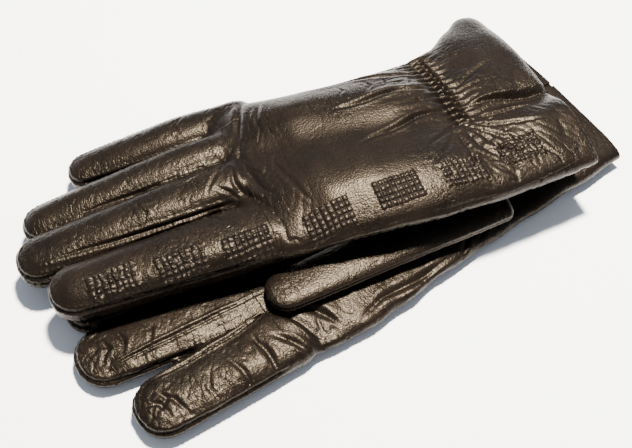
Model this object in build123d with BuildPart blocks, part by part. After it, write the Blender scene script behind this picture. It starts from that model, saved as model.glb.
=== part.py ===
"""A pair of lined leather dress gloves stored palm to palm, in millimetres.

The left glove lies on the table with its palm up. The right glove lies on it with its back up.
Both point their fingers along -X and their cuffs along +X. Every stall (finger or thumb) is a
flattened leather tube with a closed end, a back and a palm panel, fourchettes between them at
the sides, and a knitted lining inside.
"""

import os
from math import cos, radians, sin

from build123d import *

os.makedirs("parts", exist_ok=True)

# Leather, lining and thread
LEATHER = 1.0  # wall of every leather piece
STALL_LINING_GAP = 0.15  # room between leather and lining in a finger
HAND_LINING_GAP = 0.75  # the same in the hand, where the elastic runs between them
LINING = 0.6
THREAD_DEPTH = 0.45  # how deep the lattice thread sits in the leather

# Sections of the tubes
ROUNDING = 0.92  # corner radius of a section, as a share of half its thickness
SEAM_BAND = 0.17  # half height of a fourchette, as a share of the stall's thickness

# Right glove, back up: (x, y, z of the centre, width, thickness), from the hem to the knuckles
RIGHT_HAND = [
    (118, 19.5, 28.0, 111.0, 25.0),
    (67, 10.5, 29.0, 100.0, 20.0),
    (20, 9.0, 31.0, 99.0, 23.0),
    (-12, 14.0, 27.0, 101.0, 21.5),
    (-30, 20.0, 22.8, 102.5, 19.8),
]
RIGHT_HEADINGS = [0, 0, 0, 0, 0]  # degrees that each section is turned towards -Y
RIGHT_TILT = 4.0  # the index side lies higher, over the thumbs
RIGHT_SEAM = ((-30, 25.0), (118, 29.4))  # x and z of the side seam's ends, on the middle line

# Left glove, palm up
LEFT_HAND = [
    (137.5, 25.0, 5.5, 98.0, 11.0),
    (80, 12.0, 5.5, 98.0, 11.0),
    (30, 1.0, 5.5, 104.0, 11.0),
    (-12, -13.5, 5.5, 104.0, 11.0),
    (-46.5, -21.0, 5.5, 101.0, 11.0),
]
LEFT_HEADINGS = [9, 10, 11, 12, 12]
LEFT_TILT = 0.0
LEFT_SEAM = ((-30, 5.5), (118, 5.5))

# Stalls: name: (base centre, end of the tip, widths base and tip, thicknesses base and tip)
RIGHT_FINGERS = {
    "index": ((-31.1, -14.5, 23.5), (-120, -12.5, 18.5), (31.0, 25.0), (20.0, 15.0)),
    "middle": ((-31.5, 15.0, 22.5), (-129, 13.0, 12.5), (24.5, 23.0), (19.0, 14.0)),
    "ring": ((-31.7, 37.6, 20.5), (-122, 35.5, 8.8), (19.5, 19.0), (18.0, 14.0)),
    "little": ((-20.6, 60.0, 19.5), (-97, 61.0, 8.3), (23.0, 20.0), (17.0, 13.0)),
}
LEFT_FINGERS = {
    "index": ((-39.5, -57.0, 5.5), (-101.5, -71.0, 5.2), (29.0, 25.0), (11.0, 10.4)),
    "middle": ((-46.5, -30.2, 5.25), (-118, -36.0, 5.0), (25.0, 23.0), (10.5, 10.0)),
    "ring": ((-51.0, -6.3, 4.75), (-116, -13.0, 4.5), (23.0, 20.5), (9.5, 9.0)),
    "little": ((-55.7, 15.6, 4.5), (-98, 12.0, 3.8), (20.5, 17.0), (9.0, 7.6)),
}
RIGHT_THUMB = ((84, 2.0, 14.8), (12, 1.0, 14.8), (22.0, 19.0), (7.0, 6.8))
LEFT_THUMB = ((82, -27.0, 15.15), (-38, -41.5, 14.4), (25.0, 18.0), (7.7, 6.2))
THUMB_HOLE = 7.5  # radius of the hole between a thumb and its hand
RIGHT_THUMB_HOLE = (70, 1.8)
LEFT_THUMB_HOLE = (68, -28.7)

LITTLE_STEP = (-18.9, 47.9)  # x and y where the right hand is cut back for the little finger

# Cuff
FACING_DEPTH = 17.0  # how far the hem is turned in
FACING = 0.55
VENT_DEPTH = 38.0  # slit in the palm side of the cuff
VENT_MOUTH = 11.0
RIGHT_VENT = (119.5, 30.0)
LEFT_VENT = (140.5, 31.0)
ELASTIC = 0.45
ELASTIC_WIDTH = 6.0
ELASTIC_LENGTH = 46.0
RIGHT_ELASTIC = (72.0, 26.0)
LEFT_ELASTIC = (92.0, 14.0)

# Lattice stitching: patches of crossed threads in a row, from the index fingertip to the cuff
CELL = 2.55  # distance between threads
CELLS = (8, 5)  # along and across the row
THREAD = 0.6
RIGHT_FINGER_PATCHES = [(-96.5, -15.0), (-68.5, -16.0), (-43.5, -16.5)]
RIGHT_HAND_PATCHES = [(-5, -22), (26, -22), (56, -21), (86, -18)]
LEFT_FINGER_PATCHES = [(-86.0, -67.4), (-64.0, -62.5)]
LEFT_HAND_PATCHES = [(-27, -52), (3, -46), (33, -38), (63, -31), (93, -24)]


def across(at, heading, tilt=0.0):
    """Plane across a tube at a point: its x is sideways, its y up and its z along the heading."""
    along = Vector(*heading).normalized()
    side = Vector(0, 0, 1).cross(along).normalized()
    up = along.cross(side)
    return Plane(origin=at, x_dir=side * cos(radians(tilt)) + up * sin(radians(tilt)), z_dir=along)


def tube(stations, inset):
    """Solid through rounded sections (plane, width, thickness), taken in by inset all round."""
    with BuildPart() as body:
        for plane, width, thickness in stations:
            flat, deep = width - 2 * inset, thickness - 2 * inset
            with BuildSketch(plane):
                RectangleRounded(flat, deep, ROUNDING * min(flat, deep) / 2)
        loft(ruled=True)
    return body.part


def piece(shape, cuts=(), remove=(), keep_in=None):
    """Shape split by (plane, side to keep), less what is removed, inside keep_in if given."""
    with BuildPart() as made:
        add(shape)
        for plane, side in cuts:
            split(bisect_by=plane, keep=side)
        for tool in remove:
            add(tool, mode=Mode.SUBTRACT)
        if keep_in is not None:
            add(keep_in, mode=Mode.INTERSECT)
    return made.part


def shell(stations_at, outer, inner):
    """Wall of a tube between two insets. stations_at gives the sections for an inset."""
    return piece(tube(stations_at(outer), outer), remove=[tube(stations_at(inner), inner)])


def hand_stations(rows, headings, tilt):
    """Sections of a hand from its hem to its knuckles."""
    made = []
    for (x, y, z, width, thickness), turn in zip(rows, headings):
        heading = (-cos(radians(turn)), -sin(radians(turn)), 0)
        made.append((across((x, y, z), heading, tilt), width, thickness))
    return made


def stall_stations(data, inset, closed_base=False):
    """Sections of a finger or thumb, from its base to the end of its tip."""
    base, tip, widths, thicknesses = data
    start, end = Vector(*base), Vector(*tip)
    along = (end - start).normalized()
    length = (end - start).length - inset
    wide, thick = widths
    deep, thin = thicknesses
    rows = [
        (length * 0.45, (wide + thick) / 2, (deep + thin) / 2),
        (length - thick * 0.5, thick, thin),
        (length - thick * 0.15, thick * 0.74, thin * 0.84),
        (length, thick * 0.34, thin * 0.5 + inset),
    ]
    if closed_base:
        rows.insert(0, (inset + wide * 0.3, wide, deep))
        rows.insert(0, (inset, wide * 0.5, deep * 0.6 + inset * 0.6))
    else:
        rows.insert(0, (0, wide, deep))
    return [(across(start + along * s, along), w, t) for s, w, t in rows]


def face_plane(stations, x, y, face):
    """Plane on the upper (face 1) or lower (face -1) surface of a tube at x, y."""
    point = Vector(x, y, 0)
    for (first, _, deep), (second, _, thin) in zip(stations, stations[1:]):
        start = first.origin + first.y_dir * (face * deep / 2)
        end = second.origin + second.y_dir * (face * thin / 2)
        reach = Vector(end.X - start.X, end.Y - start.Y, 0)
        share = (point - Vector(start.X, start.Y, 0)).dot(reach) / reach.length**2
        if share <= 1:
            break
    along = (end - start).normalized()
    normal = along.cross(first.x_dir).normalized()
    drop = ((x - start.X) * normal.X + (y - start.Y) * normal.Y) / normal.Z
    return Plane(origin=(x, y, start.Z - drop), x_dir=along, z_dir=normal * face)


def lattice(stations, patches, face):
    """Crossed threads of every patch, sunk flush in one face of a tube."""
    along, over = CELLS
    with BuildPart() as threads:
        for x, y in patches:
            with BuildSketch(face_plane(stations, x, y, face)):
                with GridLocations(0, CELL, 1, over + 1):
                    Rectangle(along * CELL + THREAD, THREAD)
                with GridLocations(CELL, 0, along + 1, 1):
                    Rectangle(THREAD, over * CELL + THREAD)
            extrude(amount=-THREAD_DEPTH)
    return threads.part


def post(x, y, radius):
    """Upright cylinder through everything at x, y."""
    with BuildPart() as pin:
        with BuildSketch(Plane.XY.offset(-10)):
            with Locations((x, y)):
                Circle(radius)
        extrude(amount=80)
    return pin.part


def finger(data, back_face, patches=()):
    """Leather back, palm and sides, lining and lattice of a finger with its back up or down."""
    leather = shell(lambda inset: stall_stations(data, inset), 0, LEATHER)
    base = stall_stations(data, 0)[0][0]
    half_band = SEAM_BAND * data[3][0]
    over = Plane(origin=base.origin, x_dir=base.x_dir, z_dir=base.y_dir).offset(half_band)
    under = over.offset(-2 * half_band)
    top = piece(leather, [(over, Keep.TOP)])
    bottom = piece(leather, [(under, Keep.BOTTOM)])
    back, palm = (top, bottom) if back_face > 0 else (bottom, top)
    gap = LEATHER + STALL_LINING_GAP
    made = {
        "back": back,
        "palm": palm,
        "sides": piece(leather, [(over, Keep.BOTTOM), (under, Keep.TOP)]),
        "lining": shell(lambda inset: stall_stations(data, inset), gap, gap + LINING),
    }
    if patches:
        made["lattice"] = lattice(stall_stations(data, 0), patches, back_face)
        made["back"] = piece(back, remove=[made["lattice"]])
    return made


def thumb(data, hole, hand_face):
    """Leather halves and lining of a thumb, with a hole on the face that lies on its hand."""
    leather = shell(lambda inset: stall_stations(data, inset, True), 0, LEATHER)
    gap = LEATHER + STALL_LINING_GAP
    lining = shell(lambda inset: stall_stations(data, inset, True), gap, gap + LINING)
    base = stall_stations(data, 0, True)[0][0]
    seam = Plane(origin=base.origin, x_dir=base.x_dir, z_dir=base.y_dir)
    reach = 60 if hand_face > 0 else -60
    with BuildPart() as way:  # the hole goes through the wall on the hand's side only
        with BuildSketch(Plane.XY.offset(data[0][2])):
            with Locations(hole):
                Circle(THUMB_HOLE)
        extrude(amount=reach)
    hand_side, far_side = (Keep.TOP, Keep.BOTTOM) if hand_face > 0 else (Keep.BOTTOM, Keep.TOP)
    return {
        "hand_side": piece(leather, [(seam, hand_side)], [way.part]),
        "outer_side": piece(leather, [(seam, far_side)]),
        "lining": piece(lining, remove=[way.part]),
    }


def vent(at, turn):
    """V-shaped prism that slits one side of a cuff, turned with its hand."""
    turned = Location((at[0], at[1], 0), (0, 0, turn))
    with BuildPart() as notch:
        with BuildSketch(Plane(turned)):
            Polygon((3, VENT_MOUTH / 2), (3, -VENT_MOUTH / 2), (-VENT_DEPTH, 0), align=None)
        extrude(amount=60, both=True)
    return notch.part


def hand(rows, headings, tilt, seam_z, back_face, patches, thumb_hole, vent_at, elastic_at):
    """Leather, facing, elastic and lining of a hand, open at the cuff and at the knuckles."""
    stations = hand_stations(rows, headings, tilt)
    leather = shell(lambda inset: stations, 0, LEATHER)
    front, rear = seam_z
    along = Vector(front[0] - rear[0], 0, front[1] - rear[1]).normalized()
    side = Vector(0, -cos(radians(tilt)), sin(radians(tilt)))
    middle = stations[2][0].origin
    share = (middle.X - rear[0]) / (front[0] - rear[0])
    level = rear[1] + share * (front[1] - rear[1])
    seam = Plane(origin=(middle.X, middle.Y, level), x_dir=along, z_dir=along.cross(side))
    upper, lower = piece(leather, [(seam, Keep.TOP)]), piece(leather, [(seam, Keep.BOTTOM)])
    back, palm = (upper, lower) if back_face > 0 else (lower, upper)

    hole = post(*thumb_hole, THUMB_HOLE)
    slit = vent(vent_at, headings[0])
    palm_slit = piece(slit, [(seam, Keep.BOTTOM if back_face > 0 else Keep.TOP)])
    threads = lattice(stations, patches, back_face)
    made = {
        "lattice": threads,
        "back": piece(back, remove=[threads]),
        "palm": piece(palm, remove=[hole, palm_slit]),
    }

    inner = LEATHER + HAND_LINING_GAP
    lining = shell(lambda inset: stations, inner, inner + LINING)
    hole_in_palm = piece(hole, [(seam, Keep.BOTTOM if back_face > 0 else Keep.TOP)])
    made["lining"] = piece(lining, remove=[hole_in_palm, palm_slit])

    hem = stations[0][0]
    turned_in = shell(lambda inset: stations, LEATHER + 0.05, LEATHER + 0.05 + FACING)
    made["facing"] = piece(turned_in, [(hem.offset(FACING_DEPTH), Keep.BOTTOM)], [palm_slit])

    face = face_plane(stations, *elastic_at, back_face)
    with BuildPart() as band:
        with BuildSketch(face.offset(-LEATHER - 0.08)):
            Rectangle(ELASTIC_WIDTH, ELASTIC_LENGTH)
        extrude(amount=-ELASTIC)
    made["elastic"] = band.part
    return made


def save(owner, part, pieces):
    """Write each piece as owner_part_name."""
    for name, shape in pieces.items():
        node = f"{owner}_{part}_{name}"
        shape.label = node
        export_step(shape, f"parts/{node}.step")


# Right glove
right_hand = hand(
    RIGHT_HAND, RIGHT_HEADINGS, RIGHT_TILT, RIGHT_SEAM, 1,
    RIGHT_HAND_PATCHES, RIGHT_THUMB_HOLE, RIGHT_VENT, RIGHT_ELASTIC,
)
with BuildPart() as step:  # room for the little finger, which starts further back
    with BuildSketch():
        with Locations((LITTLE_STEP[0] - 20, LITTLE_STEP[1] + 20)):
            Rectangle(40, 40)
    extrude(amount=60)
for name in ("back", "palm", "lining"):
    right_hand[name] = piece(right_hand[name], remove=[step.part])
save("right", "hand", right_hand)
save("right", "thumb", thumb(RIGHT_THUMB, RIGHT_THUMB_HOLE, 1))
for name, data in RIGHT_FINGERS.items():
    save("right", name, finger(data, 1, RIGHT_FINGER_PATCHES if name == "index" else ()))

# Left glove
left_hand = hand(
    LEFT_HAND, LEFT_HEADINGS, LEFT_TILT, LEFT_SEAM, -1,
    LEFT_HAND_PATCHES, LEFT_THUMB_HOLE, LEFT_VENT, LEFT_ELASTIC,
)
save("left", "hand", left_hand)
save("left", "thumb", thumb(LEFT_THUMB, LEFT_THUMB_HOLE, -1))
for name, data in LEFT_FINGERS.items():
    save("left", name, finger(data, -1, LEFT_FINGER_PATCHES if name == "index" else ()))
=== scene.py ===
import math
import bmesh
import bpy
import numpy as np
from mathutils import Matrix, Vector, noise
from mathutils.bvhtree import BVHTree


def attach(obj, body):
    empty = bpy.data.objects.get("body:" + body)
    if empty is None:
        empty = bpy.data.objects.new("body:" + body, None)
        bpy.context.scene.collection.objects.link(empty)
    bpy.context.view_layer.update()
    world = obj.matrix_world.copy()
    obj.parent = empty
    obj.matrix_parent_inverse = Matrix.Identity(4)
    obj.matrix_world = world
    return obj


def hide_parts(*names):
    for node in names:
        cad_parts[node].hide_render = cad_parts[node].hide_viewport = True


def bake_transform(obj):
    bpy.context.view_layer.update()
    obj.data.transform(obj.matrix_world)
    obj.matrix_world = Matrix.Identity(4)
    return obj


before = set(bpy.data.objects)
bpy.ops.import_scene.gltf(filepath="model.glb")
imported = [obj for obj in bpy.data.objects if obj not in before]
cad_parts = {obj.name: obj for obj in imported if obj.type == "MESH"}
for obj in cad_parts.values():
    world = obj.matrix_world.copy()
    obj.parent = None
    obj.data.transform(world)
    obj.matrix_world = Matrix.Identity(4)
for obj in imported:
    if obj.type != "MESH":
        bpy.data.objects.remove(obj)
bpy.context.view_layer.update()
MM = 0.001

# ---------------------------------------------------------------- Studio
# A pale table top in daylight. A high window a little behind the gloves gives the warm sheen on
# every fold that leans towards the viewer, and the sky around them fills the shadows.
CAMERA_TURN, CAMERA_RISE, CAMERA_DISTANCE, LENS = -22.0, 50.0, 474 * MM, 60.0
turn, rise = math.radians(CAMERA_TURN), math.radians(CAMERA_RISE)
back = Vector((math.sin(turn) * math.cos(rise), -math.cos(turn) * math.cos(rise), math.sin(rise)))
camera_data = bpy.data.cameras.new("camera")
camera_data.lens, camera_data.sensor_width = LENS, 36.0
camera_data.clip_start = 0.01
camera = bpy.data.objects.new("camera", camera_data)
camera.location = back * CAMERA_DISTANCE
camera.rotation_euler = back.to_track_quat("Z", "Y").to_euler()
bpy.context.collection.objects.link(camera)
bpy.context.scene.camera = camera


def linear(code):
    """sRGB hex colour as linear RGBA."""
    parts = [int(code[i:i + 2], 16) / 255 for i in (1, 3, 5)]
    return [c / 12.92 if c <= 0.04045 else ((c + 0.055) / 1.055) ** 2.4 for c in parts] + [1.0]


def light(name, at, aim, size, watts, colour):
    """Square area light."""
    data = bpy.data.lights.new(name, "AREA")
    data.shape, data.size, data.size_y = "RECTANGLE", size[0], size[1]
    data.energy, data.color = watts, linear(colour)[:3]
    lamp = bpy.data.objects.new(name, data)
    lamp.location = at
    lamp.rotation_euler = (Vector(at) - Vector(aim)).to_track_quat("Z", "Y").to_euler()
    bpy.context.collection.objects.link(lamp)


light("high_window", (0.19, 0.16, 1.08), (0.0, 0.0, 0.0), (0.12, 0.12), 92.0, "#fff8ee")
world = bpy.data.worlds.new("studio")
bpy.context.scene.world = world
world.use_nodes = True
world.node_tree.nodes["Background"].inputs["Color"].default_value = linear("#e2ebfb")
world.node_tree.nodes["Background"].inputs["Strength"].default_value = 0.55


def new_object(name, bm):
    """Finished bmesh as a linked mesh object at the origin."""
    mesh = bpy.data.meshes.new(name)
    bm.to_mesh(mesh)
    bm.free()
    for polygon in mesh.polygons:
        polygon.use_smooth = True
    made = bpy.data.objects.new(name, mesh)
    bpy.context.collection.objects.link(made)
    return made


floor_mesh = bmesh.new()
bmesh.ops.create_grid(floor_mesh, x_segments=1, y_segments=1, size=6.0)
floor = new_object("floor", floor_mesh)


def add(tree, kind, links=None, **settings):
    """Node of one kind with its settings, and its inputs linked or set by name or number."""
    node = tree.nodes.new(kind)
    for key, value in settings.items():
        setattr(node, key, value)
    for key, value in (links or {}).items():
        if isinstance(value, bpy.types.NodeSocket):
            tree.links.new(value, node.inputs[key])
        else:
            node.inputs[key].default_value = value
    return node


def finish_of(name):
    """New node material with its tree, its shader and object coordinates."""
    made = bpy.data.materials.new(name)
    made.use_nodes = True
    tree = made.node_tree
    shader = tree.nodes["Principled BSDF"]
    return made, tree, shader, add(tree, "ShaderNodeTexCoord").outputs["Object"]


table_top, tree, shader, at = finish_of("table_top_matt_white")
shader.inputs["Base Color"].default_value = linear("#fafbfd")
shader.inputs["Roughness"].default_value = 0.9
shader.inputs["Specular IOR Level"].default_value = 0.1
floor.data.materials.append(table_top)

# ---------------------------------------------------------------- Right glove: one skin of leather
# Soft hair-sheep leather, about 0.8 mm thick, over a knitted lining. The hand and the stalls are
# raised as closed tubes, joined into one skin, and then creased and cut into their panels.
# sections are superellipses: 2 is an ellipse, and a higher exponent is squarer
EXPONENT_HAND, EXPONENT_STALL, EXPONENT_THUMB = 2.5, 2.25, 2.5
VOXEL = 1.35


def tube(length_of, section_at, rings, around=72):
    """Closed tube. section_at(s) gives centre, side, up, half width, half height and exponent."""
    bm = bmesh.new()
    bmesh.ops.create_grid(bm, x_segments=rings, y_segments=around, size=0.5)
    for v in bm.verts:
        share, angle = v.co.x + 0.5, (v.co.y + 0.5) * 2 * math.pi
        centre, side, up, wide, high, power = section_at(share * length_of)
        c, s = math.cos(angle), math.sin(angle)
        v.co = (centre + side * wide * math.copysign(abs(c) ** (2 / power), c)
                + up * high * math.copysign(abs(s) ** (2 / power), s)) * MM
    bmesh.ops.remove_doubles(bm, verts=bm.verts, dist=1e-5)
    bmesh.ops.holes_fill(bm, edges=[e for e in bm.edges if e.is_boundary], sides=0)
    bmesh.ops.recalc_face_normals(bm, faces=bm.faces)
    return bm


def smoothed(value, keys):
    """Value at a place along sorted (place, value...) keys, eased between them."""
    keys = sorted(keys)
    if value <= keys[0][0]:
        return keys[0][1:]
    for low, high in zip(keys, keys[1:]):
        if value <= high[0]:
            t = (value - low[0]) / (high[0] - low[0])
            t = t * t * (3 - 2 * t) * 0.5 + t * 0.5
            return [a + (b - a) * t for a, b in zip(low[1:], high[1:])]
    return keys[-1][1:]


def stall(base, tip, widths, heights, bow=0.0, overlap=14.0, power=EXPONENT_STALL):
    """Closed finger or thumb tube that starts inside its hand and ends in a round tip."""
    start, end = Vector(base), Vector(tip)
    along = (end - start).normalized()
    start = start - along * overlap
    length = (end - start).length
    side = Vector((0, 0, 1)).cross(along).normalized()
    up = along.cross(side)

    def section(s):
        t = s / length
        wide = (widths[0] + (widths[1] - widths[0]) * t) / 2
        high = (heights[0] + (heights[1] - heights[0]) * t) / 2
        near_tip = max(0.0, (s - (length - wide * 0.95)) / (wide * 0.95))
        round_tip = math.sqrt(max(0.0, 1 - near_tip ** 2.2))
        if 0 <= s < overlap:
            round_tip = math.sqrt(max(0.0, 1 - (1 - s / overlap) ** 3))
        lift = up * (bow * math.sin(math.pi * t))
        return (start + along * s + lift, side, up, wide * max(round_tip, 1e-4),
                high * max(round_tip ** 0.8, 1e-4), power)

    return tube(length, section, 80)


def palm_tube(keys, turn_keys, tilt, power=EXPONENT_HAND):
    """Closed hand tube. keys are (x, y, z, width, height) along the hand's middle line."""
    keys = sorted(keys)
    reach = keys[-1][0] - keys[0][0]

    def section(s):
        x = keys[0][0] + s
        y, z, wide, high = smoothed(x, keys)
        angle = math.radians(smoothed(x, turn_keys)[0])
        along = Vector((-math.cos(angle), -math.sin(angle), 0))
        side = Vector((0, 0, 1)).cross(along)
        tilted = side * math.cos(math.radians(tilt)) + Vector((0, 0, 1)) * math.sin(math.radians(tilt))
        end = min(s, reach - s) / 10.0
        closing = math.sqrt(1 - (1 - min(end, 1.0)) ** 2)
        up = along.cross(tilted)
        return (Vector((x, y, z)), tilted, up, wide / 2 - 10 * (1 - closing),
                max(high / 2 * closing, 0.01), power)

    return tube(reach, section, 130, 160)


def joined(name, tubes):
    """Tubes as one closed skin of even small faces, with its crotches eased."""
    together = bmesh.new()
    for bm in tubes:
        piece = bpy.data.meshes.new("piece")
        bm.to_mesh(piece)
        bm.free()
        together.from_mesh(piece)
        bpy.data.meshes.remove(piece)
    made = new_object(name, together)
    remesh = made.modifiers.new("skin", "REMESH")
    remesh.mode, remesh.voxel_size = "VOXEL", VOXEL * MM
    ease = made.modifiers.new("ease", "SMOOTH")
    ease.factor, ease.iterations = 0.5, 6
    finer = made.modifiers.new("finer", "SUBSURF")
    finer.levels = finer.render_levels = 1
    settle(made)
    return made


def settle(made):
    """Apply every modifier of an object to its mesh."""
    graph = bpy.context.evaluated_depsgraph_get()
    graph.update()
    mesh = bpy.data.meshes.new_from_object(made.evaluated_get(graph), depsgraph=graph)
    made.modifiers.clear()
    made.data = mesh
    mesh.polygons.foreach_set("use_smooth", [True] * len(mesh.polygons))


RIGHT_HAND = [
    (125, 23.6, 24.6, 119.5, 15.5), (112, 22.6, 24.8, 118.0, 16.0), (98, 17.8, 25.6, 110.0, 17.5),
    (84, 11.4, 26.4, 100.5, 18.0), (68, 9.0, 27.4, 98.0, 18.5), (45, 7.3, 29.4, 96.0, 21.5),
    (20, 7.0, 30.0, 93.5, 22.5), (0, 9.8, 28.2, 93.5, 22.0), (-15, 14.5, 25.0, 98.0, 20.0),
    (-36, 16.0, 21.4, 92.0, 16.5),
]
RIGHT_STALLS = {
    "index": ((-31, -14.8, 23.6), (-120.5, -12.5, 18.0), (31.5, 24.5), (20.5, 15.0)),
    "middle": ((-31, 15.2, 22.6), (-129.5, 12.6, 12.4), (25.0, 23.5), (20.0, 14.0)),
    "ring": ((-31, 37.4, 20.6), (-122.5, 35.0, 8.6), (20.6, 20.0), (18.5, 14.0)),
    "little": ((-20, 58.0, 18.6), (-97.5, 60.6, 8.1), (21.5, 20.5), (16.5, 13.0)),
}
right_skin = joined("right_skin", [palm_tube(RIGHT_HAND, [(-40, 0), (130, 0)], 4.0)] + [
    stall(*sizes, bow=1.2) for sizes in RIGHT_STALLS.values()])


def stall_frame(sizes, place):
    """Distance along a stall, sideways and up from its middle line, in mm, for each point."""
    start, end = Vector(sizes[0]), Vector(sizes[1])
    along = (end - start).normalized()
    side = Vector((0, 0, 1)).cross(along).normalized()
    offset = place - np.array(start)
    return offset @ np.array(along), offset @ np.array(side), offset @ np.array(along.cross(side))


def step(value, low, high):
    """Smooth 0 to 1 between low and high."""
    t = np.clip((value - low) / (high - low), 0, 1)
    return t * t * (3 - 2 * t)


def bump(value, centre, width):
    """Soft hump of height 1 around a centre."""
    return np.exp(-((value - centre) / width) ** 2)


def field(place, turn, long, short, seed):
    """Stretched noise from -1 to 1: features are long along the turned direction and short across."""
    c, s = math.cos(math.radians(turn)), math.sin(math.radians(turn))
    along, over = place[:, 0] * c + place[:, 1] * s, place[:, 1] * c - place[:, 0] * s
    points = np.stack([along / long, over / short, place[:, 2] / (short * 3) + seed * 7.3], 1)
    return np.array([noise.noise(p) for p in points])


def cracks(place, turn, long, short, seed, sharp=0.1):
    """Narrow creases, 1 in the crease and 0 away from it, where a noise field changes sign."""
    return np.clip(1 - np.abs(field(place, turn, long, short, seed)) / sharp, 0, 1) ** 1.5


def fold(place, path, width, depth, rim=0.3, wave=1.0):
    """Fold in plan along a path: a valley of that depth with a raised rim on both sides."""
    path = np.array(path, float)
    spots = place[:, :2].copy()
    spots[:, 0] += wave * 0.6 * np.sin(spots[:, 1] / 4.3 + path[0, 0])
    spots[:, 1] += wave * 0.6 * np.sin(spots[:, 0] / 5.1 + path[0, 1])
    lengths = np.linalg.norm(np.diff(path, axis=0), axis=1)
    total, gone = lengths.sum(), 0.0
    near, share = np.full(len(spots), 1e9), np.zeros(len(spots))
    for a, b, length in zip(path, path[1:], lengths):
        t = np.clip(((spots - a) @ (b - a)) / length ** 2, 0, 1)
        far = np.linalg.norm(spots - a - t[:, None] * (b - a), axis=1)
        closer = far < near
        near[closer], share[closer] = far[closer], (gone + t[closer] * length) / total
        gone += length
    taper = np.sin(np.pi * np.clip(share, 0.02, 0.98)) ** 0.9
    u = near / (width * (0.5 + 0.5 * taper))
    return taper * (-depth * np.exp(-u ** 1.5) + rim * depth * np.exp(-((u - 2.1) / 1.1) ** 2))


def arrays(made):
    """Vertex places in mm and unit normals of a mesh object."""
    count = len(made.data.vertices)
    place, facing = np.zeros(count * 3), np.zeros(count * 3)
    made.data.vertices.foreach_get("co", place)
    made.data.vertex_normals.foreach_get("vector", facing)
    return place.reshape(-1, 3) / MM, facing.reshape(-1, 3)


def press(made, amount, direction=None):
    """Move vertices by amount, in mm, along their normals or a direction."""
    place, facing = arrays(made)
    move = facing if direction is None else np.array(direction, float)
    made.data.vertices.foreach_set("co", ((place + amount[:, None] * move) * MM).ravel())
    made.data.update()


# Creases of the right glove: (path in plan, width, depth), all on its back
RIGHT_FOLDS = [
    ([(-14, 60), (-18, 50), (-21, 40), (-24, 32)], 1.5, 1.3),
    ([(-7, 57), (-9, 48), (-12, 39), (-13, 30)], 1.0, 0.7),
    ([(-23, 33), (-26, 24), (-27, 14), (-25, 4), (-20, -6)], 1.7, 1.1),
    ([(-32, 20), (-33, 11), (-31, 3), (-27, -6), (-23, -14)], 1.2, 0.9),
    ([(-14, 14), (-14, 2), (-11, -9), (-8, -18)], 1.0, 0.5),
    ([(-31, 27), (-44, 21), (-58, 18)], 0.9, 0.7),
    ([(-32, 27), (-40, 17), (-46, 8)], 0.8, 0.6),
    ([(-32, 2), (-36, 7), (-42, 12)], 0.8, 0.6),
    ([(74, 27), (62, 29), (50, 29), (36, 28), (18, 27)], 1.2, 1.7),
    ([(75, 12), (64, 12), (52, 11), (40, 8), (22, 3)], 1.2, 1.5),
    ([(72, 42), (56, 45), (38, 49), (10, 50)], 1.6, 1.5),
    ([(73, 18), (64, 19), (54, 20), (46, 20)], 1.0, 0.8),
    ([(74, 4), (64, 0), (52, -6), (44, -12)], 1.0, 0.7),
    ([(62, 40), (60, 35), (57, 31)], 0.7, 0.5),
    ([(50, 42), (49, 37), (45, 32)], 0.7, 0.5),
    ([(40, 44), (41, 38), (37, 33)], 0.7, 0.5),
    ([(27, 44), (28, 38), (24, 33)], 0.6, 0.4),
    ([(76, 12), (90, 11.5), (104, 10.5), (128, 9)], 1.0, 1.6),
    ([(75, 4), (88, 2.5), (102, 1.5), (112, 1)], 0.9, 1.2),
    ([(76, 24), (90, 30), (104, 36)], 1.6, 0.7),
    ([(70, 1), (81, -12), (97, -24)], 1.1, 1.0),
    ([(70, -2), (79, -18), (93, -28)], 1.0, 0.9),
    ([(68, -3), (72, -17), (80, -30)], 1.0, 0.8),
    ([(66, -3), (64, -18), (60, -31)], 1.1, 0.9),
    ([(62, -4), (54, -14), (44, -22)], 0.9, 0.6),
    ([(71, 1), (86, -6), (104, -10)], 1.0, 0.9),
    ([(-60, -8), (-66, -1), (-63, 6)], 0.8, 0.6),
    ([(-76, 18), (-72, 10), (-75, 5)], 0.8, 0.6),
    ([(-44, -10), (-50, -3), (-48, 2)], 0.8, 0.6),
    ([(-40, 66), (-47, 60), (-45, 54)], 0.9, 0.5),
]
SEAM_HEIGHT = 3.4
# the elastic crosses the back here, held by two rows of stitches
WRIST_X, WRIST_ROW = 72.0, 2.4
place, facing = arrays(right_skin)
# the hem is 4 mm shorter beyond the valley of the cuff
press(right_skin, 4.0 * step(place[:, 0], 92, 119) * step(place[:, 1], 3, 16), (-1, 0, 0))
place, facing = arrays(right_skin)
top, low = step(facing[:, 2], 0.0, 0.4), step(-facing[:, 2], 0.0, 0.4)
shape = np.zeros(len(place))

# slack of the leather between hand and table, and the drop of the near side
shape += 0.9 * field(place, 0, 46, 26, 1) + 0.5 * field(place, 20, 22, 14, 2)
shape += top * (-1.0 * bump(place[:, 0], -24, 10) * step(place[:, 1], -30, -10))
# the palm sinks in the middle of the back, between a far ridge and the near row of stitching
middle = step(place[:, 0], -28, -8) * step(-place[:, 0], -76, -56)
over = place[:, 1] + 0.2 * (place[:, 0] - 16)
shape += top * middle * (2.4 * step(over, 13, 29) * step(-over, -62, -40) + 0.7 * bump(over, 36, 5)
                         + 2.1 * step(-over, -13, 14) * step(over, -36, -16) - 1.2)
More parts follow.
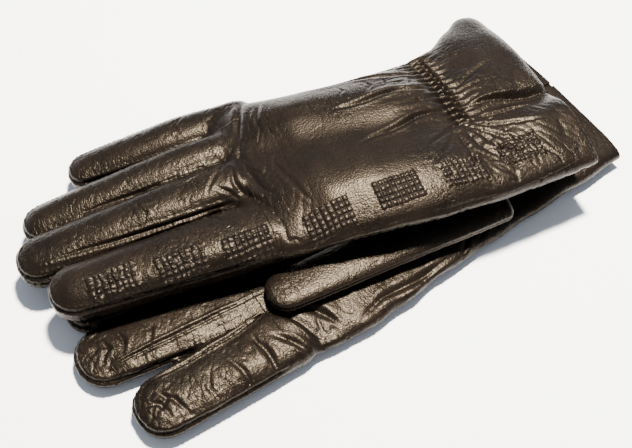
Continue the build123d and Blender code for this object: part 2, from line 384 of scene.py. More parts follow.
# gathered wrist: the elastic draws the back in, and the leather puckers on both sides of it
gathered = step(place[:, 1], -2, 6) * step(-place[:, 1], -60, -52) * top
rows = bump(place[:, 0], WRIST_X - WRIST_ROW, 1.1) + bump(place[:, 0], WRIST_X + WRIST_ROW, 1.1)
shape += -1.9 * gathered * bump(place[:, 0], WRIST_X, 6.5)
pucker = np.cos(2 * np.pi * (place[:, 1] + 0.8 * np.sin(place[:, 0] / 2.4)) / 4.1)
shape += gathered * (0.85 * pucker * bump(place[:, 0], WRIST_X, 5.0) - 0.8 * rows)
shape += gathered * 0.55 * pucker * np.exp(-np.abs(place[:, 0] - WRIST_X) / 7)
# the cuff flares into two domes with a valley between them
cuff = step(place[:, 0], 76, 106)
shape += top * cuff * (1.6 * bump(place[:, 1], 44, 20) - 2.4 * bump(place[:, 1], 8, 7)
                       + 3.4 * bump(place[:, 1], -9, 13))
shape += top * step(place[:, 0], 74, 92) * 1.8 * step(place[:, 1], 10.5, 13.5) * np.exp(
    -np.abs(place[:, 1] - 13.5) / 12)
for path, width, depth in RIGHT_FOLDS:
    shape += top * fold(place, path, width, depth)

# fine creases, by region of the back
knuckles = bump(place[:, 0], -24, 13)
shape -= top * knuckles * 0.4 * cracks(place, 80, 14, 4.0, 3, 0.13)
gather_zone = bump(place[:, 0], 70, 24) * step(place[:, 1], -40, -20)
shape -= top * gather_zone * 0.5 * cracks(place, 8, 16, 3.4, 4, 0.13)
near_cuff = bump(place[:, 0], 88, 26) * step(-place[:, 1], -12, 8)
shape -= top * near_cuff * 0.55 * cracks(place, -52, 13, 3.4, 5, 0.14)
fingers = step(-place[:, 0], 34, 44)
shape -= fingers * 0.25 * cracks(place, 70, 9, 3.6, 6, 0.07) * (0.3 + 0.7 * bump(place[:, 0], -68, 20))
shape -= fingers * 0.16 * cracks(place, 15, 14, 4.0, 7, 0.06)
shape -= top * (1 - fingers) * 0.12 * cracks(place, 75, 8, 3.2, 8, 0.06)
shape -= low * 0.6 * cracks(place, 60, 16, 5.0, 9, 0.12)

# seams of the stalls stand in a fine groove between two soft ridges
def seam_relief(distance, run):
    """Relief across a seam, puckered by its stitches along the run."""
    return (-0.7 * bump(distance, 0, 0.55) + (0.42 + 0.1 * np.cos(2 * np.pi * run / 2.3))
            * (bump(distance, 1.3, 0.75) + bump(distance, -1.3, 0.75)))


for sizes in RIGHT_STALLS.values():
    s, a, h = stall_frame(sizes, place)
    inside = step(s, 3, 12) * (np.abs(a) < sizes[2][0] * 0.62) * (np.abs(h) < 14)
    shape += inside * (seam_relief(h - SEAM_HEIGHT, s) + seam_relief(h + SEAM_HEIGHT, s))
press(right_skin, shape)


# ---------------------------------------------------------------- Leather, thread and lining finishes
# Drum-dyed sheep leather with a waxy top coat: nearly black-brown in the shade, warm bronze
# where the light skims it. Its hair pores are about 0.5 mm apart and its finest creases a few
# millimetres long. Both are drawn half as coarse again, so that they show.
DEEP_BROWN, WORN_BROWN = "#080605", "#120d0a"


def leather_finish(name, turn):
    """Leather whose finest creases run across a part turned by that many degrees."""
    made, tree, shader, at = finish_of(name)
    facing = add(tree, "ShaderNodeMapping", {"Vector": at, "Rotation": (0, 0, math.radians(-turn))})
    large = add(tree, "ShaderNodeTexNoise", {"Vector": at, "Scale": 55.0, "Detail": 3.0})
    tone = add(tree, "ShaderNodeValToRGB", {"Fac": large.outputs["Fac"]})
    low, high = tone.color_ramp.elements
    low.position, high.position = 0.3, 0.72
    low.color, high.color = linear(DEEP_BROWN), linear(WORN_BROWN)

    pores = add(tree, "ShaderNodeTexVoronoi", {"Vector": at, "Scale": 1250.0, "Randomness": 0.95})
    grain = add(tree, "ShaderNodeTexNoise", {"Vector": at, "Scale": 900.0, "Detail": 2.0})
    stretched = add(tree, "ShaderNodeMapping",
                    {"Vector": facing.outputs["Vector"], "Scale": (420.0, 130.0, 260.0)})
    lines = add(tree, "ShaderNodeTexNoise",
                {"Vector": stretched.outputs["Vector"], "Scale": 1.0, "Detail": 2.5, "Distortion": 0.6})
    centred = add(tree, "ShaderNodeMath", {0: lines.outputs["Fac"], 1: 0.5}, operation="SUBTRACT")
    away = add(tree, "ShaderNodeMath", {0: centred.outputs[0]}, operation="ABSOLUTE")
    creased = add(tree, "ShaderNodeMapRange", {"Value": away.outputs[0], "From Min": 0.0,
                                               "From Max": 0.05, "To Min": 0.0, "To Max": 1.0})
    patchy = add(tree, "ShaderNodeTexNoise", {"Vector": at, "Scale": 38.0, "Detail": 1.0})
    where = add(tree, "ShaderNodeMapRange", {"Value": patchy.outputs["Fac"], "From Min": 0.42,
                                             "From Max": 0.62})
    soft = add(tree, "ShaderNodeMix", {"Factor": where.outputs[0], 2: 1.0, 3: creased.outputs[0]})
    # painted shade: the fine crease lines also darken the base colour to 55 %, standing in for the
    # shade inside them
    painted_crease_shade = add(tree, "ShaderNodeMapRange", {"Value": soft.outputs[0], "To Min": 0.55, "To Max": 1.0})
    colour = add(tree, "ShaderNodeMix", {"Factor": 1.0, 6: tone.outputs["Color"],
                                         7: painted_crease_shade.outputs[0]}, data_type="RGBA", blend_type="MULTIPLY")
    tree.links.new(colour.outputs[2], shader.inputs["Base Color"])
    rough = add(tree, "ShaderNodeMapRange", {"Value": grain.outputs["Fac"], "From Min": 0.3,
                                             "From Max": 0.7, "To Min": 0.29, "To Max": 0.42})
    tree.links.new(rough.outputs[0], shader.inputs["Roughness"])
    shader.inputs["Specular IOR Level"].default_value = 0.15
    shader.inputs["Specular Tint"].default_value = linear("#f5e0c2")
    shader.inputs["IOR"].default_value = 1.5
    fine = add(tree, "ShaderNodeBump", {"Height": pores.outputs["Distance"], "Strength": 0.45,
                                        "Distance": 0.0002}, invert=True)
    line_bump = add(tree, "ShaderNodeBump", {"Height": soft.outputs[0], "Strength": 0.4,
                                             "Distance": 0.00025, "Normal": fine.outputs["Normal"]})
    tree.links.new(line_bump.outputs["Normal"], shader.inputs["Normal"])
    return made


leather = leather_finish("drum_dyed_sheep_leather", 0)
turned_leather = leather_finish("drum_dyed_sheep_leather_turned", 12)


def thread_finish(name, code, rough):
    """Waxed twisted thread."""
    made, tree, shader, at = finish_of(name)
    twist = add(tree, "ShaderNodeTexNoise", {"Vector": at, "Scale": 2600.0, "Detail": 1.0})
    tone = add(tree, "ShaderNodeMapRange",
               {"Value": twist.outputs["Fac"], "To Min": 0.55, "To Max": 1.3})
    mixed = add(tree, "ShaderNodeMix", {"Factor": 1.0, 6: linear(code), 7: tone.outputs[0]},
                data_type="RGBA", blend_type="MULTIPLY")
    tree.links.new(mixed.outputs[2], shader.inputs["Base Color"])
    shader.inputs["Roughness"].default_value = rough
    shader.inputs["Specular IOR Level"].default_value = 0.15
    ridges = add(tree, "ShaderNodeBump",
                 {"Height": twist.outputs["Fac"], "Strength": 0.5, "Distance": 0.0001})
    tree.links.new(ridges.outputs["Normal"], shader.inputs["Normal"])
    return made


lattice_thread = thread_finish("waxed_lattice_thread", "#120a08", 0.6)


RIB, COURSE = 0.0012, 0.0009


def knit_finish(name, code):
    """Knitted or woven yarn: ribs 1.2 mm apart and courses 0.9 mm apart."""
    made, tree, shader, at = finish_of(name)
    apart = add(tree, "ShaderNodeSeparateXYZ", {"Vector": at})
    rib = add(tree, "ShaderNodeMath", {0: apart.outputs["Y"], 1: 2 * math.pi / RIB},
              operation="MULTIPLY")
    ribs = add(tree, "ShaderNodeMath", {0: rib.outputs[0]}, operation="SINE")
    row = add(tree, "ShaderNodeMath", {0: apart.outputs["X"], 1: 2 * math.pi / COURSE},
              operation="MULTIPLY")
    rows = add(tree, "ShaderNodeMath", {0: row.outputs[0]}, operation="SINE")
    height = add(tree, "ShaderNodeMath", {0: ribs.outputs[0], 1: rows.outputs[0]}, operation="ADD")
    tone = add(tree, "ShaderNodeMapRange", {"Value": height.outputs[0], "From Min": -2.0,
                                            "From Max": 2.0, "To Min": 0.5, "To Max": 1.3})
    mixed = add(tree, "ShaderNodeMix", {"Factor": 1.0, 6: linear(code), 7: tone.outputs[0]},
                data_type="RGBA", blend_type="MULTIPLY")
    tree.links.new(mixed.outputs[2], shader.inputs["Base Color"])
    shader.inputs["Roughness"].default_value = 0.85
    shader.inputs["Sheen Weight"].default_value = 0.3
    shader.inputs["Sheen Roughness"].default_value = 0.5
    knobs = add(tree, "ShaderNodeBump",
                {"Height": height.outputs[0], "Strength": 0.6, "Distance": 0.0003})
    tree.links.new(knobs.outputs["Normal"], shader.inputs["Normal"])
    return made


lining_knit = knit_finish("rib_knitted_lining", "#2a1d16")
elastic_tape = knit_finish("woven_elastic_tape", "#1c1815")


# ---------------------------------------------------------------- Right glove: cut into panels
# The trank is cut from one piece, and the palm, the stalls' palms and the fourchettes are sewn to
# it. Each panel is a wall of leather 0.9 mm thick whose outside is the creased skin.
WALL = 0.9


def centres_of(bm):
    """Face centres in mm."""
    return np.array([f.calc_center_median() for f in bm.faces]) / MM


def kept(mesh, chosen):
    """New bmesh with only the chosen faces of a mesh. chosen takes the centres in mm."""
    bm = bmesh.new()
    bm.from_mesh(mesh)
    bm.faces.ensure_lookup_table()
    flags = chosen(centres_of(bm))
    bmesh.ops.delete(bm, geom=[f for f, keep in zip(bm.faces, flags) if not keep], context="FACES")
    return bm


def slice_at(bm, point, normal):
    """Cut a bmesh along a plane without removing anything. point is in mm."""
    bmesh.ops.bisect_plane(bm, geom=bm.verts[:] + bm.edges[:] + bm.faces[:], dist=1e-7,
                           plane_co=Vector(point) * MM, plane_no=normal)


def trim(bm, point, normal):
    """Cut away everything past a plane. point is in mm."""
    bmesh.ops.bisect_plane(bm, geom=bm.verts[:] + bm.edges[:] + bm.faces[:], dist=1e-7,
                           plane_co=Vector(point) * MM, plane_no=normal, clear_outer=True)


def side_of(bm, point, normal, keep_above):
    """Copy of a bmesh with the faces on one side of a plane."""
    part = bm.copy()
    origin, normal = Vector(point) * MM, Vector(normal)
    gone = [f for f in part.faces if ((f.calc_center_median() - origin).dot(normal) > 0) != keep_above]
    bmesh.ops.delete(part, geom=gone, context="FACES")
    return part


def walled(name, bm, finish, thickness=WALL, node=None):
    """Panel object with a wall of that thickness under its outside, standing for its CAD node."""
    made = new_object(name, bm)
    made.data.materials.append(finish)
    wall = made.modifiers.new("wall", "SOLIDIFY")
    wall.thickness, wall.offset = thickness * MM, -1.0
    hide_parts(node or name)
    return made


def stall_panels(owner, name, sizes, bm, seam, finish, back_up, hinge):
    """Back, palm and sides of a stall. hinge is (hand body, own body, start, end) or a body name."""
    start, end = Vector(sizes[0]), Vector(sizes[1])
    along = (end - start).normalized()
    up = along.cross(Vector((0, 0, 1)).cross(along).normalized())
    over, under = start + up * seam, start - up * seam
    slice_at(bm, over, up)
    slice_at(bm, under, up)
    top = side_of(bm, over, up, True)
    rest = side_of(bm, over, up, False)
    parts = {"back" if back_up else "palm": top,
             "palm" if back_up else "back": side_of(rest, under, up, False),
             "sides": side_of(rest, under, up, True)}
    rest.free()
    bm.free()
    made = {}
    for part, cut in parts.items():
        node = f"{owner}_{name}_{part}"
        made[part] = walled(node, cut, finish)
        follow(made[part], hinge)
    return made


def follow(made, hinge):
    """Ride a piece on one body, or, given a knuckle hinge, only bake its place into its mesh."""
    if isinstance(hinge, str):
        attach(made, hinge)
    else:
        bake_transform(made)


KNUCKLE_CUT = {"index": -28.0, "middle": -28.0, "ring": -28.0, "little": -17.0}


def stall_choice(stalls, cut, centres):
    """Name index of the stall that owns each face, or -1 for the hand."""
    best, owner = np.full(len(centres), 1e9), np.full(len(centres), -1)
    for index, (name, sizes) in enumerate(stalls.items()):
        s, a, h = stall_frame(sizes, centres)
        closeness = np.abs(a) / sizes[2][0]
        better = closeness < best
        best[better], owner[better] = closeness[better], index
    limit = np.array([cut[name] for name in stalls])
    return np.where(centres[:, 0] < limit[owner], owner, -1)


def right_hinge(name):
    """Hand, finger, and the start and end of the bend of one upper finger."""
    y, z = RIGHT_STALLS[name][0][1:]
    x = KNUCKLE_CUT[name] - 2.5
    return "right_hand", f"right_{name}", (x, y, z), (x - 15, y, z)


cut_skin = bmesh.new()
cut_skin.from_mesh(right_skin.data)
for x in sorted(set(KNUCKLE_CUT.values())):
    slice_at(cut_skin, (x, 0, 0), (1, 0, 0))
HEM_X = 118.5
trim(cut_skin, (HEM_X, 0, 0), (1, 0, 0))
cut_skin.to_mesh(right_skin.data)
cut_skin.free()
right_stall_bodies = {}
for index, (name, sizes) in enumerate(RIGHT_STALLS.items()):
    bm = kept(right_skin.data, lambda c: stall_choice(RIGHT_STALLS, KNUCKLE_CUT, c) == index)
    right_stall_bodies[name] = stall_panels("right", name, sizes, bm, SEAM_HEIGHT, leather, True,
                                            right_hinge(name))


def vented(bm, mouth, turn, depth=38.0, gap=3.0):
    """Cut the slit of the cuff into a panel: a narrow V from its mouth in the hem, pointing in."""
    along = Vector((math.cos(math.radians(turn)), math.sin(math.radians(turn)), 0))
    over = Vector((-along.y, along.x, 0))
    apex = Vector((*mouth, 0)) - along * depth
    for side in (1, -1):
        edge = along * depth + over * (side * gap / 2)
        slice_at(bm, apex, Vector((-edge.y, edge.x, 0)).normalized())
    gone = []
    for f in bm.faces:
        offset = f.calc_center_median() / MM - apex
        reach = offset.dot(along)
        if reach > 0 and abs(offset.dot(over)) < reach * gap / 2 / depth:
            gone.append(f)
    bmesh.ops.delete(bm, geom=gone, context="FACES")
    return bm


hand_bm = kept(right_skin.data, lambda c: stall_choice(RIGHT_STALLS, KNUCKLE_CUT, c) < 0)
seam_point, seam_normal = (40, 9, 27.5), Vector((-0.03, 0.0698, 0.997)).normalized()
slice_at(hand_bm, seam_point, seam_normal)
right_back_bm = side_of(hand_bm, seam_point, seam_normal, True)
right_palm_bm = vented(side_of(hand_bm, seam_point, seam_normal, False), (119.5, 30.0), 0.0)
right_back = walled("right_hand_back", right_back_bm, leather)
right_palm = walled("right_hand_palm", right_palm_bm, leather)
for piece in (right_back, right_palm):
    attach(piece, "right_hand")


def inner_layer(name, bm, depth, thickness, finish, body, keep=1.0):
    """Layer that follows the inside of the leather, with that share of its faces kept."""
    made = new_object(name, bm)
    if keep < 1:
        fewer = made.modifiers.new("fewer", "DECIMATE")
        fewer.ratio = keep
        ease = made.modifiers.new("ease", "SMOOTH")
        ease.iterations = 6
        settle(made)
    press(made, np.full(len(made.data.vertices), -depth))
    made.data.materials.clear()
    made.data.materials.append(finish)
    wall = made.modifiers.new("wall", "SOLIDIFY")
    wall.thickness, wall.offset = thickness * MM, -1.0
    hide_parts(name)
    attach(made, body)


FACING_REACH, LINING_STOP = 17, 4
facing_bm = side_of(hand_bm, (HEM_X - FACING_REACH, 0, 0), (1, 0, 0), True)
lining_bm = side_of(hand_bm, (HEM_X - LINING_STOP, 0, 0), (1, 0, 0), False)
TAPE_HALF_WIDTH = 3.2
elastic_bm = kept(right_back.data, lambda c: (np.abs(c[:, 0] - WRIST_X) < TAPE_HALF_WIDTH)
                  & (np.abs(c[:, 1] - 28) < 25))
inner_layer("right_hand_facing", facing_bm, 1.0, 0.6, leather, "right_hand")
inner_layer("right_hand_elastic", elastic_bm, 1.0, 0.5, elastic_tape, "right_hand")
inner_layer("right_hand_lining", lining_bm, 1.9, 0.6, lining_knit, "right_hand", 0.35)
hand_bm.free()


def stall_lining(owner, name, sizes, hinge):
    """Knitted tube inside a stall, open at its base."""
    base, tip, widths, heights = sizes
    inset = 2 * (WALL + 0.5)
    along = (Vector(tip) - Vector(base)).normalized()
    bm = stall(base, tuple(Vector(tip) - along * (WALL + 0.6)), [w - inset for w in widths],
               [h - inset for h in heights], overlap=-1.0)
    trim(bm, Vector(base) + along * 2.0, -along)
    follow(walled(f"{owner}_{name}_lining", bm, lining_knit, 0.6), hinge)


for name, sizes in RIGHT_STALLS.items():
    stall_lining("right", name, sizes, right_hinge(name))


# ---------------------------------------------------------------- Right glove: lattice stitching
# Seven patches of crossed waxed thread in a row from the index finger to the cuff. The threads
# draw the leather down between small puffed squares 2.5 mm apart, 8 along and 5 across.
CELL, LATTICE_ALONG, LATTICE_OVER = 2.5, 8, 5
THREAD_RADIUS, THREAD_SEAT, THREAD_DROP = 0.16, -0.04, 5.0
THREAD_STEP, THREAD_RUN_OUT, SHORTEST_COURSE = 0.25, 0.3, 8
# noise_vector is seeded by the clock unless it is told a seed
noise.seed_set(1)


def patch_axes(turn):
    """Directions along and across a patch in plan."""
    return (np.array([math.cos(math.radians(turn)), math.sin(math.radians(turn))]),
            np.array([-math.sin(math.radians(turn)), math.cos(math.radians(turn))]))


def wander(x, y, a, b, crumple):
    """How far slack leather drags the lattice aside at a place of its patch, in mm."""
    drift = noise.noise_vector(Vector((a / 4.6 + x, b / 4.6 + y, 0.5)))
    return crumple * drift.x, crumple * drift.y


def puffed(made, patch, up, height, proud):
    """Raise the squares of one patch in a panel. proud is the share above its surface."""
    x, y, turn, crumple, pearl = patch
    u_axis, v_axis = patch_axes(turn)
    reach = (LATTICE_ALONG * CELL / 2, LATTICE_OVER * CELL / 2)
    bm = bmesh.new()
    bm.from_mesh(made.data)
    spot = np.array([x, y])

    def local(co):
        offset = np.array([co.x, co.y]) / MM - spot
        return offset @ u_axis, offset @ v_axis

    edges = {}  # a dict keeps their order, so that each run cuts them alike
    for f in bm.faces:
        u, v = local(f.calc_center_median())
        if abs(u) < reach[0] + 0.8 and abs(v) < reach[1] + 0.8 and f.normal.z * up > 0.15:
            edges.update(dict.fromkeys(f.edges))
    bmesh.ops.subdivide_edges(bm, edges=list(edges), cuts=1, use_grid_fill=True)
    bm.normal_update()
    moves = []
    for v in bm.verts:
        if v.normal.z * up < 0.1:
            continue
        a, b = local(v.co)
        drift = wander(x, y, a, b, crumple)
        a, b = a + drift[0], b + drift[1]
        if abs(a) > reach[0] or abs(b) > reach[1]:
            continue
        ridge = abs(math.sin(math.pi * (a + reach[0]) / CELL)
                    * math.sin(math.pi * (b + reach[1]) / CELL))
        uneven = 1 + 1.2 * crumple * noise.noise(Vector((a / 2.9, b / 2.9, x)))
        moves.append((v, v.normal * (height * (ridge ** pearl - 1 + proud) * uneven * MM)))
    for v, move in moves:
        v.co += move
    bm.to_mesh(made.data)
    bm.free()


def lattice_threads(name, panel, patches, up, hinge):
    """Threads lying in the furrows between the puffed squares, over and under each other."""
    together = bmesh.new()
    bm = bmesh.new()
    bm.from_mesh(panel.data)
    tree = BVHTree.FromBMesh(bm)

    def surface(x, y):
        """Height of the panel's outside at a place, or None beside it."""
        hit = tree.ray_cast(Vector((x * MM, y * MM, 0.06 * up)), Vector((0, 0, -up)))[0]
        return hit.z / MM if hit else None

    for x, y, turn, crumple, pearl in patches:
        u_axis, v_axis = patch_axes(turn)
        centre_height = surface(x, y)
        reach = (LATTICE_ALONG * CELL / 2, LATTICE_OVER * CELL / 2)
        runs = [(True, reach[0], -reach[1] + k * CELL, k) for k in range(1, LATTICE_OVER)]
        runs += [(False, reach[1], -reach[0] + k * CELL, k + 1) for k in range(1, LATTICE_ALONG)]
        for lengthwise, half, shift, parity in runs:
            def line_point(s):
                a, b = (s - half, shift) if lengthwise else (shift, s - half)
                drift = wander(x, y, a, b, crumple)
                spot = np.array([x, y]) + u_axis * (a - drift[0]) + v_axis * (b - drift[1])
                height = surface(*spot)
                if height is None or abs(height - centre_height) > THREAD_DROP:
                    return None
                weave = 0.1 * math.cos(math.pi * (s / CELL + parity))
                return Vector((spot[0], spot[1], height + up * (THREAD_SEAT + weave)))

            # the thread ends where the panel does, or where it turns down its side
            count = int((2 * half + 2 * THREAD_RUN_OUT) / THREAD_STEP) + 1
            steps = [line_point(k * THREAD_STEP - THREAD_RUN_OUT) for k in range(count)]
            course = []
            for k, point in enumerate(steps):
                if point and (not course or k == course[-1] + 1):
                    course.append(k)
            if len(course) < SHORTEST_COURSE:
                continue
            points = [steps[k] for k in course]
            reach_of_thread = (len(points) - 1) * THREAD_STEP

            def section(s):
                k = min(int(s / THREAD_STEP), len(points) - 2)
                share = min(s / THREAD_STEP - k, 1.0)
                here = points[k].lerp(points[k + 1], share)
                along = (points[min(k + 2, len(points) - 1)] - points[max(k - 1, 0)]).normalized()
                side = Vector((0, 0, 1)).cross(along).normalized()
                end = min(s, reach_of_thread - s) / 0.5
                thick = THREAD_RADIUS * math.sqrt(max(1 - (1 - min(end, 1.0)) ** 2, 1e-4))
                return here, side, along.cross(side), thick, thick * 0.85, 2.0

            thread = tube(reach_of_thread, section, int(reach_of_thread / 0.55), 7)
            mesh = bpy.data.meshes.new("thread")
            thread.to_mesh(mesh)
            thread.free()
            together.from_mesh(mesh)
            bpy.data.meshes.remove(mesh)
    bm.free()
    made = new_object(name, together)
    made.data.materials.append(lattice_thread)
    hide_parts(name)
    follow(made, hinge)


# Patches: (x, y, turn, how crumpled, how pearl-like the squares are)
RIGHT_HAND_PATCHES = [(-5, -27.5, 2, 0.3, 0.3), (26, -26.5, 1, 0.4, 0.34), (56, -26.5, 1, 0.6, 0.4),
                      (86, -22.0, 4, 0.9, 0.36)]
RIGHT_FINGER_PATCHES = [(-94.5, -19.0, 0, 1.2, 0.3), (-67, -22.4, 1, 0.9, 0.3),
                         (-39.5, -24.8, 2, 0.5, 0.3)]
right_index_back = right_stall_bodies["index"]["back"]
for panel, patches in ((right_back, RIGHT_HAND_PATCHES), (right_index_back, RIGHT_FINGER_PATCHES)):
    for patch in patches:
        puffed(panel, patch, 1, 0.85, 0.6)
lattice_threads("right_hand_lattice", right_back, RIGHT_HAND_PATCHES, 1, "right_hand")
lattice_threads("right_index_lattice", right_index_back, RIGHT_FINGER_PATCHES, 1,
                right_hinge("index"))

# ---------------------------------------------------------------- Right glove: thumb
# The thumb is folded under the palm, between the two gloves, and only shows when they part.
# It is sewn from a hand side and an outer side, seamed round its edge, over a knitted lining.
RIGHT_THUMB = ((78, 2.0, 15.3), (11.5, 1.0, 15.0), (22.0, 19.0), (7.4, 7.0))


def thumb_halves(owner, sizes, finish, body, hand_up, relief):
    """Hand side and outer side of a thumb, and its lining."""
    made = new_object("thumb_form", stall(*sizes, overlap=6.0, power=EXPONENT_THUMB))
    finer = made.modifiers.new("finer", "SUBSURF")
    finer.levels = finer.render_levels = 1
    settle(made)
    press(made, relief(arrays(made)[0]))
    bm = bmesh.new()
    bm.from_mesh(made.data)
    bpy.data.objects.remove(made)
    middle = (Vector(sizes[0]) + Vector(sizes[1])) / 2
    along = (Vector(sizes[1]) - Vector(sizes[0])).normalized()
    up = along.cross(Vector((0, 0, 1)).cross(along).normalized())
    slice_at(bm, middle, up)
    for node, above in (("hand_side", hand_up), ("outer_side", not hand_up)):
        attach(walled(f"{owner}_thumb_{node}", side_of(bm, middle, up, above), finish), body)
    bm.free()
    base, tip, widths, heights = sizes
    inner = stall(base, tuple(Vector(tip) - along * 1.4), [w - 2.8 for w in widths],
                  [h - 2.6 for h in heights], overlap=4.0, power=EXPONENT_THUMB)
    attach(walled(f"{owner}_thumb_lining", inner, lining_knit, 0.5), body)


def right_thumb_relief(place):
    """Folds of the trapped thumb."""
    return (0.5 * field(place, 0, 20, 9, 21) - 0.45 * cracks(place, 70, 10, 4, 22, 0.12)
            + seam_relief(place[:, 2] - 15.2, place[:, 0]) * 0.8)


thumb_halves("right", RIGHT_THUMB, leather, "right_hand", True, right_thumb_relief)

# ---------------------------------------------------------------- Left glove: one skin of leather
# The mate of the right glove, lying palm up on the table under it and pressed flat by it. Only
# the side that sticks out, with the index and middle stalls, keeps its slack and its creases.
LEFT_HAND = [
    (146, 26.5, 6.0, 92.0, 11.0), (137, 25.0, 6.2, 93.0, 11.6), (110, 18.5, 6.2, 95.0, 11.8),
    (80, 12.0, 5.8, 98.0, 11.2), (55, 6.5, 5.7, 101.0, 11.0), (30, 1.0, 5.7, 104.0, 11.0),
    (5, -7.5, 5.7, 104.5, 11.0), (-12, -13.5, 5.7, 104.0, 11.0), (-30, -17.5, 5.6, 102.0, 10.6),
    (-52, -22.0, 5.3, 96.0, 9.0),
]
LEFT_STALLS = {
    "index": ((-38, -56.7, 6.0), (-102.5, -71.2, 5.6), (30.0, 25.5), (12.4, 11.6)),
    "middle": ((-42, -32.0, 5.7), (-118.5, -38.3, 5.2), (29.5, 28.0), (11.6, 10.6)),
    "ring": ((-47, -6.3, 4.9), (-116.5, -13.0, 4.6), (24.0, 21.0), (9.8, 9.2)),
    "little": ((-51, 15.6, 4.6), (-98.5, 12.0, 3.9), (21.5, 17.5), (9.2, 7.8)),
}
LEFT_TURN = [(-50, 12), (30, 11), (80, 10), (137, 9)]
PRESSED_HAND, PRESSED_STALL = 3.0, 2.6
left_skin = joined("left_skin", [palm_tube(LEFT_HAND, LEFT_TURN, 0.0, PRESSED_HAND)] + [
    stall(*sizes, bow=0.6, power=PRESSED_STALL) for sizes in LEFT_STALLS.values()])
LEFT_FOLDS = [
    ([(-22, -64), (-27, -56), (-33, -50), (-40, -44)], 1.6, 1.5),
    ([(-14, -60), (-20, -52), (-26, -46)], 1.5, 1.3),
    ([(-30, -70), (-36, -62), (-42, -56)], 1.3, 1.1),
    ([(-44, -72), (-47, -62), (-50, -54)], 1.3, 1.0),
    ([(-56, -76), (-58, -68), (-63, -60)], 1.1, 0.8),
    ([(-70, -78), (-72, -70), (-70, -62)], 1.0, 0.6),
    ([(-82, -78), (-86, -70), (-92, -66)], 1.0, 0.8),
    ([(-90, -78), (-92, -70), (-99, -68)], 0.9, 0.8),
    ([(-92, -62), (-90, -68), (-96, -73)], 0.9, 0.7),
    ([(-108, -44), (-104, -38), (-107, -31)], 1.0, 0.8),
    ([(-100, -44), (-98, -36), (-101, -28)], 1.0, 0.7),
    ([(-88, -42), (-86, -35), (-90, -30)], 0.9, 0.5),
    ([(-4, -60), (8, -55), (24, -51), (44, -46)], 1.6, 1.2),
    ([(60, -41), (66, -36), (74, -31)], 1.2, 0.9),
    ([(50, -46), (54, -40), (58, -36)], 1.1, 0.8),
]
LEFT_SEAM_HEIGHT = 2.2
place, facing = arrays(left_skin)
top = step(facing[:, 2], 0.0, 0.4)
shape = 0.5 * field(place, 12, 40, 22, 31) * step(place[:, 2], 2, 6)
loose = step(-place[:, 1], 30, 46)
shape += top * loose * 0.9 * field(place, 100, 16, 9, 32)
for path, width, depth in LEFT_FOLDS:
    shape += top * fold(place, path, width, depth)
stalls_zone = step(-place[:, 0], 40, 50)
shape -= top * stalls_zone * 0.3 * cracks(place, 95, 9, 3.4, 33, 0.08)
tips = np.maximum(bump(place[:, 0], -96, 9) * step(-place[:, 1], 56, 60),
                  bump(place[:, 0], -110, 9) * step(-place[:, 1], 20, 24))
shape -= top * tips * 0.5 * cracks(place, 40, 8, 3.0, 34, 0.14)
thumb_root = bump(place[:, 0], -20, 20) * loose
shape -= top * thumb_root * 0.45 * cracks(place, 110, 12, 3.8, 35, 0.14)
shape -= top * 0.14 * cracks(place, 85, 9, 3.6, 36, 0.07)
for sizes in LEFT_STALLS.values():
    s, a, h = stall_frame(sizes, place)
    inside = step(s, 3, 12) * (np.abs(a) < sizes[2][0] * 0.56)
    shape += inside * seam_relief(h - LEFT_SEAM_HEIGHT, s)
# the fourchette between index and middle is pressed open and shows as a strip between two seams
STRIP_SEAMS = ([(-97, -59.5), (-80, -55.5), (-62, -51), (-46, -46), (-37, -42)],
               [(-111, -47), (-96, -44), (-68, -39.7), (-50, -37), (-35, -34)])
for path in STRIP_SEAMS:
    shape += top * fold(place, path, 0.6, 1.2, 0.5, wave=0.1)
press(left_skin, shape)
# nothing sinks into the table
TABLE_GAP = 0.15
place = arrays(left_skin)[0]
place[:, 2] = np.maximum(place[:, 2], TABLE_GAP)
left_skin.data.vertices.foreach_set("co", (place * MM).ravel())
left_skin.data.update()

# ---------------------------------------------------------------- Left glove: cut into panels
# Cut like its mate, but the hem and the knuckle line lie turned, and the seam between palm and
# back runs level. Its vent is pressed nearly shut.
hem_point, hem_normal = (137.8, 25, 0), Vector((*patch_axes(9)[0], 0))
knuckle_point, knuckle_normal = (-45.0, -21.0, 0), Vector((*patch_axes(12)[0], 0))
cut_skin = bmesh.new()
cut_skin.from_mesh(left_skin.data)
slice_at(cut_skin, knuckle_point, knuckle_normal)
trim(cut_skin, hem_point, hem_normal)
cut_skin.to_mesh(left_skin.data)
cut_skin.free()


def left_choice(centres):
    """Name index of the stall that owns each face of the left skin, or -1 for the hand."""
    owner = stall_choice(LEFT_STALLS, {name: 500.0 for name in LEFT_STALLS}, centres)
    past = (centres - np.array(knuckle_point)) @ np.array(knuckle_normal) < 0
    return np.where(past, owner, -1)


LEFT_HINGE = ("left_hand", "left_index", (-44.5, -57.5, 6), (-59.0, -61.0, 6))
for index, (name, sizes) in enumerate(LEFT_STALLS.items()):
    bm = kept(left_skin.data, lambda c: left_choice(c) == index)
    hinge = LEFT_HINGE if name == "index" else "left_hand"
    panels = stall_panels("left", name, sizes, bm, LEFT_SEAM_HEIGHT, turned_leather, False, hinge)
    stall_lining("left", name, sizes, hinge)
    if name == "index":
        left_index_back = panels["back"]

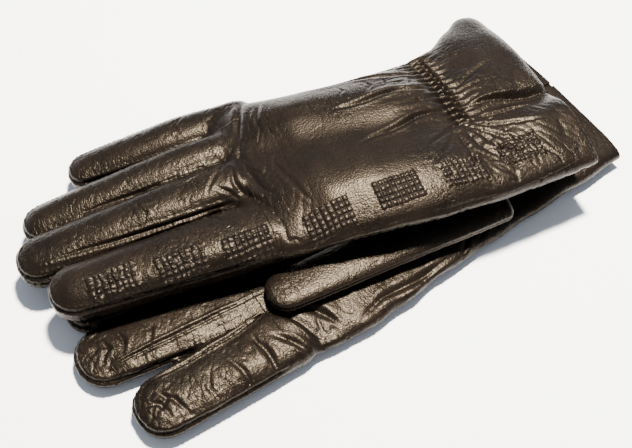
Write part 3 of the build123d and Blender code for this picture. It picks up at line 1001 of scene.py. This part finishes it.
hand_bm = kept(left_skin.data, lambda c: left_choice(c) < 0)
seam_point = (0, 0, 5.8)
slice_at(hand_bm, seam_point, (0, 0, 1))
LEFT_VENT = ((140.5, 31.0), 9.0)
palm_bm = vented(side_of(hand_bm, seam_point, (0, 0, 1), True), *LEFT_VENT)
left_palm = walled("left_hand_palm", palm_bm, turned_leather)
left_back = walled("left_hand_back", side_of(hand_bm, seam_point, (0, 0, 1), False), turned_leather)
for piece in (left_palm, left_back):
    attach(piece, "left_hand")
facing_bm = side_of(hand_bm, Vector(hem_point) - hem_normal * FACING_REACH, hem_normal, True)
inner_layer("left_hand_facing", facing_bm, 1.0, 0.6, turned_leather, "left_hand")
lining_bm = side_of(hand_bm, Vector(hem_point) - hem_normal * LINING_STOP, hem_normal, False)
inner_layer("left_hand_lining", lining_bm, 1.9, 0.6, lining_knit, "left_hand", 0.35)
hand_bm.free()
tape_middle, (tape_along, tape_over) = (92, 14), patch_axes(10)
elastic_bm = kept(left_back.data, lambda c: (
    np.abs((c[:, :2] - tape_middle) @ tape_along) < TAPE_HALF_WIDTH)
    & (np.abs((c[:, :2] - tape_middle) @ tape_over) < 23))
inner_layer("left_hand_elastic", elastic_bm, 1.0, 0.5, elastic_tape, "left_hand")

# ---------------------------------------------------------------- Left glove: lattice stitching
# The same seven patches as on its mate. This glove lies on its back, so they are pressed flat
# against the table, and only the furrows of the thread are drawn in.
LEFT_HAND_PATCHES = [(-27, -52, 12, 0.3, 0.6), (3, -46, 12, 0.3, 0.6), (33, -38, 11, 0.3, 0.6),
                     (63, -31, 11, 0.3, 0.6), (93, -24, 10, 0.3, 0.6)]
LEFT_FINGER_PATCHES = [(-86.0, -67.4, 12, 0.3, 0.6), (-66.0, -63.0, 12, 0.3, 0.6)]
for panel, patches in ((left_back, LEFT_HAND_PATCHES), (left_index_back, LEFT_FINGER_PATCHES)):
    for patch in patches:
        puffed(panel, patch, -1, 0.7, 0.0)
lattice_threads("left_hand_lattice", left_back, LEFT_HAND_PATCHES, -1, "left_hand")
lattice_threads("left_index_lattice", left_index_back, LEFT_FINGER_PATCHES, -1, LEFT_HINGE)

# ---------------------------------------------------------------- Left glove: thumb
# The thumb lies across the palm with its tip at the root of the index finger. It is the part of
# this glove that lies highest, and it swings out from the palm.
LEFT_THUMB = ((72, -28.0, 15.6), (-38.5, -41.5, 15.0), (26.0, 18.5), (9.4, 7.2))


def left_thumb_relief(place):
    """A smooth thumb with a little slack along its middle."""
    return (0.35 * field(place, 5, 26, 10, 41) - 0.2 * cracks(place, 85, 8, 3.6, 42, 0.1)
            + seam_relief(place[:, 2] - 15.3, place[:, 0]) * 0.5)


thumb_halves("left", LEFT_THUMB, turned_leather, "left_thumb", False, left_thumb_relief)

for skin in (right_skin, left_skin):
    bpy.data.objects.remove(skin)
